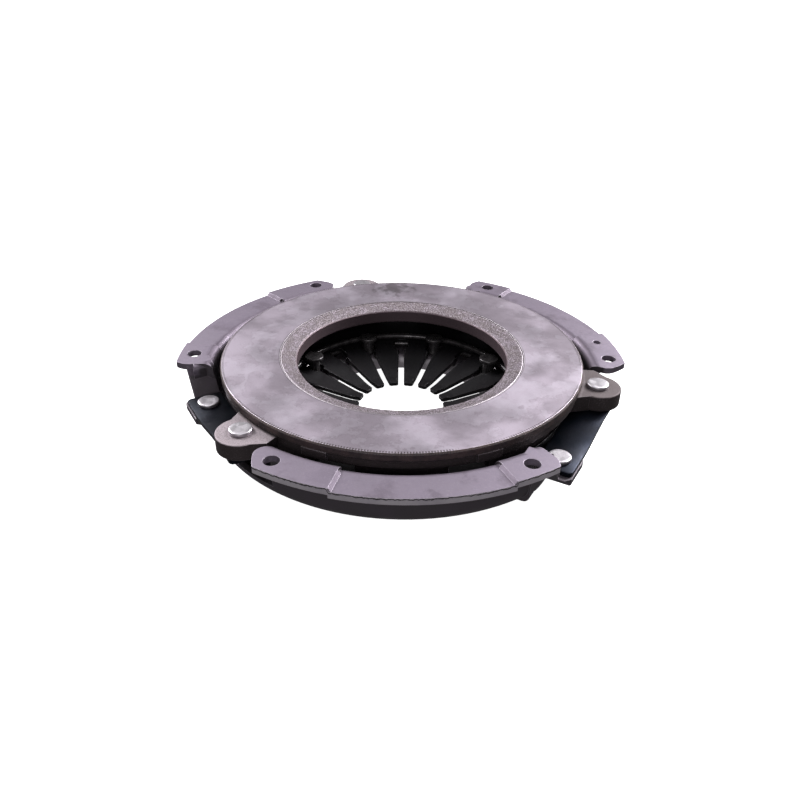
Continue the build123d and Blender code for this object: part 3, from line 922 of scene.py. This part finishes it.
def build_grain() -> bpy.types.NodeTree:
    """Build the effect of a grainy metal skin.

    Returns:
        A group with a Height for bumps, a Speck mask and a slow Cloud value.
    """
    effect = Effect(
        "metal_grain",
        (("Fineness", 2.0), ("Cloud Size", 0.04)),
        (("Height", "Float"), ("Speck", "Float"), ("Cloud", "Float")),
    )
    w, given, result = effect.open()
    place = w.place()
    fine = w.noise(place, given.outputs["Fineness"], 4.0, 0.7)
    pits = w.tree.nodes.new("ShaderNodeTexVoronoi")
    w.feed(pits.inputs["Vector"], place)
    w.feed(pits.inputs["Scale"], given.outputs["Fineness"])
    height = w.math("ADD", w.times(fine, 0.7), w.times(pits.outputs["Distance"], 0.3))
    w.feed(result.inputs["Height"], height)
    w.feed(result.inputs["Speck"], w.step(fine, 0.52, 0.68))
    cloud = w.noise(place, given.outputs["Cloud Size"], 5.0, 0.6)
    w.feed(result.inputs["Cloud"], w.step(cloud, 0.34, 0.66))
    return w.tree


def build_turning() -> bpy.types.NodeTree:
    """Build the effect of fine marks that a lathe or a grinder leaves round the axis.

    Returns:
        A group with a Height for bumps and the Radius from the axis in millimetres.
    """
    effect = Effect(
        "turning_marks",
        (("Pitch", 0.35),),
        (("Height", "Float"), ("Radius", "Float")),
    )
    w, given, result = effect.open()
    place = w.place()
    flat = w.node("VectorMath", {"operation": "MULTIPLY"})
    w.feed(flat.inputs[0], place)
    w.feed(flat.inputs[1], (1.0, 1.0, 0.0))
    radius = w.node("VectorMath", {"operation": "LENGTH"}, Vector=flat.outputs[0]).outputs["Value"]
    along = w.node("CombineXYZ", X=w.math("DIVIDE", radius, given.outputs["Pitch"]))
    rings = w.tree.nodes.new("ShaderNodeTexNoise")
    w.feed(rings.inputs["Vector"], along.outputs[0])
    w.feed(rings.inputs["Scale"], 1.0)
    w.feed(rings.inputs["Detail"], 3.0)
    w.feed(result.inputs["Height"], rings.outputs["Fac"])
    w.feed(result.inputs["Radius"], radius)
    return w.tree


@dataclass(frozen=True)
class Effects:
    """The shared effects, built once and placed in each material with its own values."""

    edges: bpy.types.NodeTree = field(default_factory=build_edge_wear)
    grain: bpy.types.NodeTree = field(default_factory=build_grain)
    turning: bpy.types.NodeTree = field(default_factory=build_turning)


# Finishes


@dataclass(frozen=True)
class Finish:
    """A metal skin with clouds of two tones, specks of grain and rubbed edges."""

    name: str
    light: Colour
    dark: Colour
    edge: Colour
    metallic: float = 0.7
    roughness: tuple[float, float] = (0.4, 0.55)
    cloud_size: float = 25.0
    grain_size: float = 0.6
    grain_depth: float = 0.02
    edge_radius: float = 0.4
    edge_gain: float = 0.8
    patchiness: float = 0.45
    speck_gain: float = 0.2
    specular: float = 0.5

    def start(self) -> tuple[bpy.types.Material, Wiring, bpy.types.Node]:
        """Make the empty material.

        Returns:
            The material, its wiring and its shader.
        """
        material = bpy.data.materials.new(self.name)
        material.use_nodes = True
        tree = material.node_tree
        return material, Wiring(tree), tree.nodes["Principled BSDF"]

    def material(self, effects: Effects) -> bpy.types.Material:
        """Build the material.

        Args:
            effects: The shared node groups.

        Returns:
            The finished material.
        """
        material, w, shader = self.start()
        grain, worn = self.skin_effects(w, effects)
        tone = w.mix(grain.outputs["Cloud"], self.dark, self.light)
        specked = w.mix(w.times(grain.outputs["Speck"], self.speck_gain), tone, self.edge)
        self.skin(w, shader, specked, grain, worn)
        return material

    def skin_effects(self, w: Wiring, effects: Effects) -> tuple[bpy.types.Node, bpy.types.Node]:
        """Place the grain and the edge wear.

        Args:
            w: The material's wiring.
            effects: The shared node groups.

        Returns:
            The nodes of the grain and of the edge wear.
        """
        grain = w.call(effects.grain, Fineness=1 / self.grain_size, Cloud_Size=1 / self.cloud_size)
        worn = w.call(effects.edges, Radius=self.edge_radius * MM, Patchiness=self.patchiness)
        return grain, worn

    def skin(
        self, w: Wiring, shader: bpy.types.Node, tone: Socket, grain: bpy.types.Node, worn: bpy.types.Node
    ) -> None:
        """Feed the shader with a colour rubbed at its edges, a cloudy roughness and grainy bumps.

        Args:
            w: The material's wiring.
            shader: The shader.
            tone: Colour of the skin away from its edges.
            grain: The grain effect.
            worn: The edge wear effect.
        """
        edged = w.mix(w.times(worn.outputs["Mask"], self.edge_gain), tone, self.edge)
        w.feed(shader.inputs["Base Color"], edged)
        shader.inputs["Metallic"].default_value = self.metallic
        shader.inputs["Specular IOR Level"].default_value = self.specular
        low, high = self.roughness
        w.feed(shader.inputs["Roughness"], w.step(grain.outputs["Cloud"], 0.0, 1.0, high, low))
        self.bump(w, shader, grain.outputs["Height"], worn.outputs["Normal"])

    def bump(self, w: Wiring, shader: bpy.types.Node, height: Socket, normal: Socket) -> None:
        """Feed the shader's normal from a height over a rounded normal.

        Args:
            w: The material's wiring.
            shader: The shader.
            height: Height between 0 and 1.
            normal: Normal to start from.
        """
        bumped = w.node("Bump", Height=height, Normal=normal, Distance=self.grain_depth * MM)
        bumped.inputs["Strength"].default_value = 1.0
        w.feed(shader.inputs["Normal"], bumped.outputs["Normal"])


@dataclass(frozen=True)
class DrawnPressing(Finish):
    """Phosphated deep-drawn sheet: stained flanges, a pale cut rim that is partly a painted highlight
    under a painted shade line, painted shade on the drawn walls and floor, and a painted glint at the
    collar.
    """

    rim_r: float = 141.9
    wall_r: float = 128.5
    wall_top: float = -6.4
    middle_azimuth: float = 34.5
    middle_share: float = 0.53
    pad_top: float = 0.0
    middle_top: float = -2.0
    collar_r: float = 63.0
    # Strength of the painted glint at the mouth of the collar
    collar_glint_cover: float = 0.6
    smear_size: float = 24.0
    streak_size: float = 11.0
    # How much darker the sloping faces are
    slope_darkening: float = 0.6
    # Strength of the pale rim, which is partly a painted highlight
    pale_rim_and_highlight_cover: float = 0.85
    patchiness: float = 0.35
    # Painted shade on the drawn walls and floor
    wall: Colour = (0.11, 0.096, 0.11)
    stain: Colour = (0.13, 0.105, 0.135)
    # Pale cut steel that is partly a painted highlight on the rim; also the painted glint at the collar
    rim: Colour = (0.92, 0.86, 0.92)
    # Painted shade line under the rolled top of the rim
    shade_line: Colour = (0.05, 0.04, 0.05)

    def flange_tone(self, w: Wiring, place: Socket, grain: bpy.types.Node) -> Socket:
        """Colour of the flange: clouds, dark smears and fine specks, darker on sloping ramps and bends.

        Args:
            w: The material's wiring.
            place: Place in millimetres.
            grain: The grain effect.

        Returns:
            The colour's socket.
        """
        smear = w.step(w.noise(place, self.smear_size, 6.0, 0.66), 0.53, 0.66, 0.0, 0.55)
        tone = w.mix(grain.outputs["Cloud"], self.dark, self.light)
        tone = w.mix(smear, tone, self.stain)
        tone = w.mix(w.times(grain.outputs["Speck"], self.speck_gain), tone, self.edge)
        # Darker on sloping faces
        sloping = w.band(w.levelness(), 0.5, 0.97, 0.04)
        return w.mix(w.times(sloping, self.slope_darkening), tone, self.stain)

    def material(self, effects: Effects) -> bpy.types.Material:
        """Build the material.

        Args:
            effects: The shared node groups.

        Returns:
            The finished material.
        """
        material, w, shader = self.start()
        place = w.place()
        axes = w.node("SeparateXYZ", Vector=place).outputs
        radius = w.call(effects.turning).outputs["Radius"]
        grain, worn = self.skin_effects(w, effects)
        upright = w.upright()
        tone = self.flange_tone(w, place, grain)
        # Painted shade on the drawn wall and floor, and a painted glint at the mouth of the collar
        inward = w.step(radius, self.wall_r - 1.5, self.wall_r + 0.5, 1.0, 0.0)
        sunk = w.step(axes["Z"], self.wall_top - 1.5, self.wall_top + 0.5, 1.0, 0.0)
        drawn = w.math("MAXIMUM", w.times(inward, upright), sunk)
        streaks = w.step(w.noise(place, self.streak_size, 5.0, 0.7), 0.42, 0.7, 0.0, 0.5)
        tone = w.mix(drawn, tone, w.mix(streaks, self.wall, self.stain))
        collar_glint = w.step(radius, self.collar_r - 1.5, self.collar_r, self.collar_glint_cover, 0.0)
        tone = w.mix(collar_glint, tone, self.rim)
        # Rim of the flange, cut in shearing: a painted shade line where the top rolls over, and under it
        # pale steel that is partly a painted highlight
        azimuth = w.math("ARCTAN2", axes["Y"], axes["X"])
        threefold = w.times(w.math("SUBTRACT", azimuth, radians(self.middle_azimuth)), 3.0)
        in_middle = w.step(w.math("COSINE", threefold), self.middle_share - 0.02, self.middle_share + 0.02)
        top = w.step(in_middle, 0.0, 1.0, self.pad_top, self.middle_top)
        below_top = w.math("SUBTRACT", top, axes["Z"])
        at_rim = w.times(w.step(radius, self.rim_r, self.rim_r + 0.2), upright)
        ragged = w.math("ADD", below_top, w.step(w.noise(place, 3.0, 3.0), 0.3, 0.7, -0.35, 0.35))
        pale_steel_and_highlight = w.mix(grain.outputs["Cloud"], self.edge, self.rim)
        tone = w.mix(w.times(at_rim, self.pale_rim_and_highlight_cover), tone, pale_steel_and_highlight)
        tone = w.mix(w.times(at_rim, w.band(ragged, 0.35, 1.05, 0.5)), tone, self.shade_line)
        self.skin(w, shader, tone, grain, worn)
        return material


PHOSPHATED_PRESSING = DrawnPressing(
    name="phosphated_pressing",
    light=(0.285, 0.242, 0.305),
    dark=(0.185, 0.155, 0.20),
    edge=(0.66, 0.61, 0.68),
    metallic=0.7,
    roughness=(0.42, 0.55),
    cloud_size=30.0,
    grain_size=0.9,
    grain_depth=0.014,
    edge_radius=0.5,
    edge_gain=0.55,
    speck_gain=0.10,
)
BLACK_SPRING = Finish(
    name="black_spring",
    light=(0.020, 0.018, 0.021),
    dark=(0.009, 0.008, 0.010),
    edge=(0.16, 0.15, 0.16),
    metallic=0.6,
    roughness=(0.34, 0.46),
    cloud_size=22.0,
    grain_size=0.7,
    edge_gain=0.35,
    speck_gain=0.08,
)
BLUED_STRAP = Finish(
    name="blued_strap",
    light=(0.007, 0.009, 0.017),
    dark=(0.004, 0.005, 0.010),
    specular=0.25,
    edge=(0.14, 0.15, 0.17),
    metallic=0.8,
    roughness=(0.3, 0.42),
    cloud_size=14.0,
    grain_size=0.5,
    edge_radius=0.2,
    edge_gain=0.4,
    speck_gain=0.06,
)
BRIGHT_RIVET = Finish(
    name="bright_rivet",
    light=(0.74, 0.70, 0.75),
    dark=(0.52, 0.49, 0.53),
    edge=(0.86, 0.84, 0.87),
    metallic=0.9,
    roughness=(0.28, 0.42),
    cloud_size=3.0,
    grain_size=0.5,
    grain_depth=0.03,
    edge_radius=0.3,
    edge_gain=0.4,
)
DARK_RIVET = Finish(
    name="dark_rivet",
    light=(0.13, 0.12, 0.125),
    dark=(0.05, 0.046, 0.05),
    edge=(0.20, 0.19, 0.20),
    metallic=0.7,
    roughness=(0.24, 0.36),
    cloud_size=4.0,
    grain_size=0.5,
    edge_gain=0.4,
)


@dataclass(frozen=True)
class GroundIron(Finish):
    """Cast iron that is ground on the friction face, turned on the rim and raw on the lugs."""

    face_level: float = 4.0
    face_inner_r: float = 77.4
    face_outer_r: float = 113.1
    rim_foot: float = -0.9
    bore_r: float = 67.0
    lug_r: float = 116.0
    # The lug tops beyond this x are darker
    darker_lug_from_x: float = 100.0
    far_lug_darkening: float = 0.9
    crest_gain: float = 0.4
    teeth: int = 450
    tooth_cover: float = 0.85
    # Strength of the rings at the grooves: pale ones partly polish and partly painted highlight, dark ones
    # painted shade
    groove_light_and_shade_cover: float = 0.8
    patch_size: float = 26.0
    patch_cover: float = 0.42
    outline_cover: float = 0.14
    dust_cover: float = 0.16
    smudge_at: Point = (-6.0, 104.0)
    turning_pitch: float = 0.5
    sand_size: float = 0.7
    sand_cloud: float = 6.0
    raw_roughness: float = 0.6
    patchiness: float = 0.3
    cast: Colour = (0.085, 0.070, 0.072)
    cast_light: Colour = (0.33, 0.285, 0.31)
    patch: Colour = (0.60, 0.55, 0.63)
    rim_tone: Colour = (0.13, 0.098, 0.095)
    bore_tone: Colour = (0.15, 0.11, 0.125)
    # Painted shade in the turned grooves
    shade_line: Colour = (0.045, 0.03, 0.035)

    def face_tone(self, w: Wiring, place: Socket, grain: bpy.types.Node) -> Socket:
        """Colour of the ground friction face: stained clouds, crisp pale patches and one dark smudge.

        Args:
            w: The material's wiring.
            place: Place in millimetres.
            grain: The grain effect.

        Returns:
            The colour's socket.
        """
        cloud = w.mix(grain.outputs["Cloud"], self.dark, self.light)
        warped = w.noise(place, self.patch_size, 8.0, 0.66)
        worn_through = w.step(w.noise(place, 7.0, 5.0, 0.7), 0.36, 0.6, 0.3, 1.0)
        patch = w.times(w.step(warped, 0.50, 0.522), worn_through)
        patched = w.mix(w.times(patch, self.patch_cover), cloud, self.patch)
        ring = w.band(warped, 0.492, 0.506, 0.012)
        outlined = w.mix(w.times(ring, self.outline_cover), patched, self.cast)
        dusted = w.mix(w.times(grain.outputs["Speck"], self.dust_cover), outlined, self.cast)
        away = w.node("VectorMath", {"operation": "DISTANCE"})
        w.feed(away.inputs[0], place)
        w.feed(away.inputs[1], (*self.smudge_at, self.face_level))
        fringe = w.step(w.noise(place, 6.0, 5.0), 0.0, 1.0, -14.0, 14.0)
        ragged = w.math("ADD", away.outputs["Value"], fringe)
        return w.mix(w.step(ragged, 5.0, 16.0, 0.6, 0.0), dusted, self.cast)

    def land_tone(self, w: Wiring, coarse: bpy.types.Node) -> Socket:
        """Colour of the sandy land inside the face.

        Args:
            w: The material's wiring.
            coarse: The coarse grain effect.

        Returns:
            The colour's socket.
        """
        sand = w.step(coarse.outputs["Height"], 0.40, 0.66)
        return w.mix(sand, self.cast, w.mix(coarse.outputs["Cloud"], self.dark, self.cast_light))

    def raw_tone(self, w: Wiring, axes: object, on_lug: Socket, coarse: bpy.types.Node) -> Socket:
        """Colour of the raw casting: dark grain with bright crests, paler on the level tops of the lugs
        and darker on the lug tops at +X.

        Args:
            w: The material's wiring.
            axes: Coordinates in millimetres by axis.
            on_lug: Mask of the tops of the lugs.
            coarse: The coarse grain effect.

        Returns:
            The colour's socket.
        """
        crest = w.times(coarse.outputs["Speck"], w.step(coarse.outputs["Cloud"], 0.0, 1.0, 0.3, 0.9))
        # Paler on the level tops of the lugs
        rubbed = w.times(on_lug, w.step(coarse.outputs["Height"], 0.3, 0.6, 0.45, 1.0))
        lit = w.math("ADD", w.times(crest, self.crest_gain), rubbed, clamp=True)
        tone = w.mix(lit, self.cast, self.cast_light)
        # Darker on the lug tops beyond the given x
        far_lug = w.step(axes["X"], self.darker_lug_from_x, self.darker_lug_from_x + 4.0, 0.0, self.far_lug_darkening)
        return w.mix(w.times(on_lug, far_lug), tone, self.cast)

    def grooved(self, w: Wiring, tone: Socket, radius: Socket, level: Socket) -> Socket:
        """Add the turned grooves where the face starts as paint: pale rings on their edges, partly polish
        and partly painted highlight, and painted shade in them.

        Args:
            w: The material's wiring.
            tone: Colour without them.
            radius: Distance from the axis in millimetres.
            level: Mask of level faces.

        Returns:
            The colour's socket.
        """
        # Pale rings partly polish and partly painted highlight, dark rings painted shade
        for near, far, colour in (
            (-0.95, -0.55, self.edge),
            (-0.55, -0.05, self.shade_line),
            (-0.05, 0.4, self.edge),
            (0.4, 0.7, self.shade_line),
        ):
            ring = w.band(radius, self.face_inner_r + near, self.face_inner_r + far, 0.1)
            tone = w.mix(w.times(w.times(ring, level), self.groove_light_and_shade_cover), tone, colour)
        return tone

    def notched(self, w: Wiring, tone: Socket, place: Socket, axes: object, radius: Socket) -> Socket:
        """Add the fine teeth that the tool left round the edge of the face.

        Args:
            w: The material's wiring.
            tone: Colour without them.
            place: Place in millimetres.
            axes: Coordinates in millimetres by axis.
            radius: Distance from the axis in millimetres.

        Returns:
            The colour's socket.
        """
        azimuth = w.math("ARCTAN2", axes["Y"], axes["X"])
        wave = w.math("SINE", w.times(azimuth, float(self.teeth)))
        at_edge = w.band(radius, self.face_outer_r - 1.3, self.face_outer_r + 1.1)
        notch = w.times(w.step(wave, -0.2, 0.3), at_edge)
        notch = w.times(notch, w.step(w.noise(place, 30.0, 3.0), 0.38, 0.5))
        high = w.step(axes["Z"], self.face_level - 1.6, self.face_level - 1.2)
        return w.mix(w.times(notch, w.times(high, self.tooth_cover)), tone, self.cast)

    def material(self, effects: Effects) -> bpy.types.Material:
        """Build the material.

        Args:
            effects: The shared node groups.

        Returns:
            The finished material.
        """
        material, w, shader = self.start()
        place = w.place()
        axes = w.node("SeparateXYZ", Vector=place).outputs
        turning = w.call(effects.turning, Pitch=self.turning_pitch)
        radius = turning.outputs["Radius"]
        grain, worn = self.skin_effects(w, effects)
        coarse = w.call(effects.grain, Fineness=1 / self.sand_size, Cloud_Size=1 / self.sand_cloud)
        level = w.math("SUBTRACT", 1.0, w.upright())
        on_top = w.step(axes["Z"], self.face_level - 0.12, self.face_level - 0.04)
        face = w.times(on_top, w.step(radius, self.face_inner_r - 0.3, self.face_inner_r + 0.1))
        inside_face = w.step(radius, self.face_inner_r - 0.5, self.face_inner_r - 0.1, 1.0, 0.0)
        in_bore = w.step(radius, self.bore_r + 0.2, self.bore_r + 0.6, 1.0, 0.0)
        outside_face = w.step(radius, self.face_outer_r - 0.1, self.face_outer_r + 0.3)
        rim = w.times(w.step(axes["Z"], self.rim_foot, self.rim_foot + 0.4), outside_face)
        on_lug = w.times(level, w.step(radius, self.lug_r - 2.0, self.lug_r))
        tone = self.raw_tone(w, axes, on_lug, coarse)
        tone = w.mix(face, tone, self.face_tone(w, place, grain))
        tone = w.mix(rim, tone, w.mix(coarse.outputs["Cloud"], self.cast, self.rim_tone))
        tone = w.mix(w.times(inside_face, level), tone, self.land_tone(w, coarse))
        tone = w.mix(in_bore, tone, self.bore_tone)
        tone = self.grooved(w, tone, radius, level)
        tone = self.notched(w, tone, place, axes, radius)
        tone = w.mix(w.times(worn.outputs["Mask"], self.edge_gain), tone, self.edge)
        w.feed(shader.inputs["Base Color"], tone)
        shader.inputs["Metallic"].default_value = self.metallic
        patchy = w.step(grain.outputs["Cloud"], 0.0, 1.0, *self.roughness)
        smoother = w.times(face, w.math("SUBTRACT", patchy, self.raw_roughness))
        w.feed(shader.inputs["Roughness"], w.math("ADD", smoother, self.raw_roughness))
        ring_height = w.times(turning.outputs["Height"], w.step(face, 0.0, 1.0, 0.0, 0.25))
        skin_height = w.times(coarse.outputs["Height"], w.step(face, 0.0, 1.0, 4.0, 0.05))
        self.bump(w, shader, w.math("ADD", ring_height, skin_height), worn.outputs["Normal"])
        return material


GROUND_IRON = GroundIron(
    name="ground_iron",
    light=(0.51, 0.445, 0.525),
    dark=(0.44, 0.38, 0.445),
    edge=(0.70, 0.64, 0.70),
    metallic=0.85,
    roughness=(0.36, 0.46),
    cloud_size=45.0,
    grain_size=0.8,
    grain_depth=0.05,
    edge_radius=0.5,
    edge_gain=0.45,
)


# Studio


@dataclass(frozen=True)
class Softbox:
    """A square soft light: its place and side in millimetres and its power in watts."""

    name: str
    place: tuple[float, float, float]
    side: float
    power: float

    def hang(self) -> None:
        """Hang the light so that it faces the part."""
        data = bpy.data.lights.new(self.name, "AREA")
        data.size = self.side * MM
        data.energy = self.power
        light = bpy.data.objects.new(self.name, data)
        bpy.context.scene.collection.objects.link(light)
        light.location = mm(*self.place)
        light.rotation_euler = (-light.location).to_track_quat("-Z", "Y").to_euler()


SOFTBOXES = (
    Softbox("left_back_softbox", (-1100, 800, 980), 800, 30),
    Softbox("right_back_softbox", (1100, 800, 980), 800, 48),
    Softbox("overhead_softbox", (0, 100, 1400), 900, 5),
    Softbox("front_fill", (-200, -1300, 500), 500, 3.0),
)


@dataclass(frozen=True)
class Studio:
    """Floor, lights and the camera at the photograph's viewing angle."""

    camera_at: tuple[float, float, float] = (-3.67, -421.0, 222.9)
    camera_forward: tuple[float, float, float] = (0.00586, 0.85446, -0.51949)
    camera_roll: float = 0.91
    lens: float = 33.29
    floor_drop: float = 0.3
    floor_size: float = 60000.0
    floor_tone: tuple[float, float, float, float] = (0.92, 0.92, 0.92, 1.0)
    air_tone: tuple[float, float, float, float] = (1.0, 0.985, 1.0, 1.0)
    air_strength: float = 0.15

    def camera(self) -> None:
        """Set the camera."""
        data = bpy.data.cameras.new("photo_camera")
        data.lens = self.lens
        data.sensor_width = 36.0
        data.clip_start = 0.01
        data.clip_end = 50.0
        camera = bpy.data.objects.new("photo_camera", data)
        bpy.context.scene.collection.objects.link(camera)
        camera.location = mm(*self.camera_at)
        level = Vector(self.camera_forward).to_track_quat("-Z", "Y")
        camera.rotation_mode = "QUATERNION"
        camera.rotation_quaternion = level @ Quaternion((0, 0, 1), radians(self.camera_roll))
        bpy.context.scene.camera = camera

    def floor(self) -> None:
        """Lay the pale floor just under the part."""
        bpy.ops.object.select_all(action="DESELECT")
        level = CAD_BOX[0].z - self.floor_drop * MM
        bpy.ops.mesh.primitive_plane_add(size=self.floor_size * MM, location=(0, 0, level))
        floor = bpy.context.object
        floor.name = "floor"
        paint = bpy.data.materials.new("pale_floor")
        paint.use_nodes = True
        shader = paint.node_tree.nodes["Principled BSDF"]
        shader.inputs["Base Color"].default_value = self.floor_tone
        shader.inputs["Roughness"].default_value = 0.9
        shader.inputs["Emission Color"].default_value = (1, 1, 1, 1)
        shader.inputs["Emission Strength"].default_value = 1.0
        floor.data.materials.append(paint)
        floor.visible_diffuse = False
        floor.visible_glossy = False

    def build(self) -> None:
        """Set up the whole studio."""
        scene = bpy.context.scene
        scene.view_settings.view_transform = "Standard"
        world = bpy.data.worlds.new("studio_air")
        scene.world = world
        world.use_nodes = True
        background = world.node_tree.nodes["Background"]
        background.inputs["Color"].default_value = self.air_tone
        background.inputs["Strength"].default_value = self.air_strength
        self.floor()
        for softbox in SOFTBOXES:
            softbox.hang()
        self.camera()


def dress(name: str, material: bpy.types.Material) -> None:
    """Give a CAD node its material.

    Args:
        name: The node's name.
        material: The material.
    """
    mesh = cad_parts[name].data
    mesh.materials.clear()
    mesh.materials.append(material)
    LOG.info("dressed %s", name)


def main() -> None:
    """Build the scene: studio, finishes and every sub-assembly in turn."""
    logging.basicConfig(level=logging.INFO, format="%(message)s")
    Studio().build()
    effects = Effects()
    iron = GROUND_IRON.material(effects)
    pressing = PHOSPHATED_PRESSING.material(effects)
    black = BLACK_SPRING.material(effects)
    blued = BLUED_STRAP.material(effects)
    bright = BRIGHT_RIVET.material(effects)
    dark = DARK_RIVET.material(effects)
    dress("pressure_plate", iron)
    assemblies = (
        CoverPressing(pressing),
        FulcrumRings(dark),
        DiaphragmSpring(black),
        FulcrumRivets(dark),
        StrapDrive(blued, bright),
    )
    for assembly in assemblies:
        made = assembly.build()
        pieces = made if isinstance(made, list) else [made]
        for piece in pieces:
            LOG.info("%s: %s, %d faces", type(assembly).__name__, piece.name, len(piece.data.polygons))


if __name__ == "__main__":
    main()
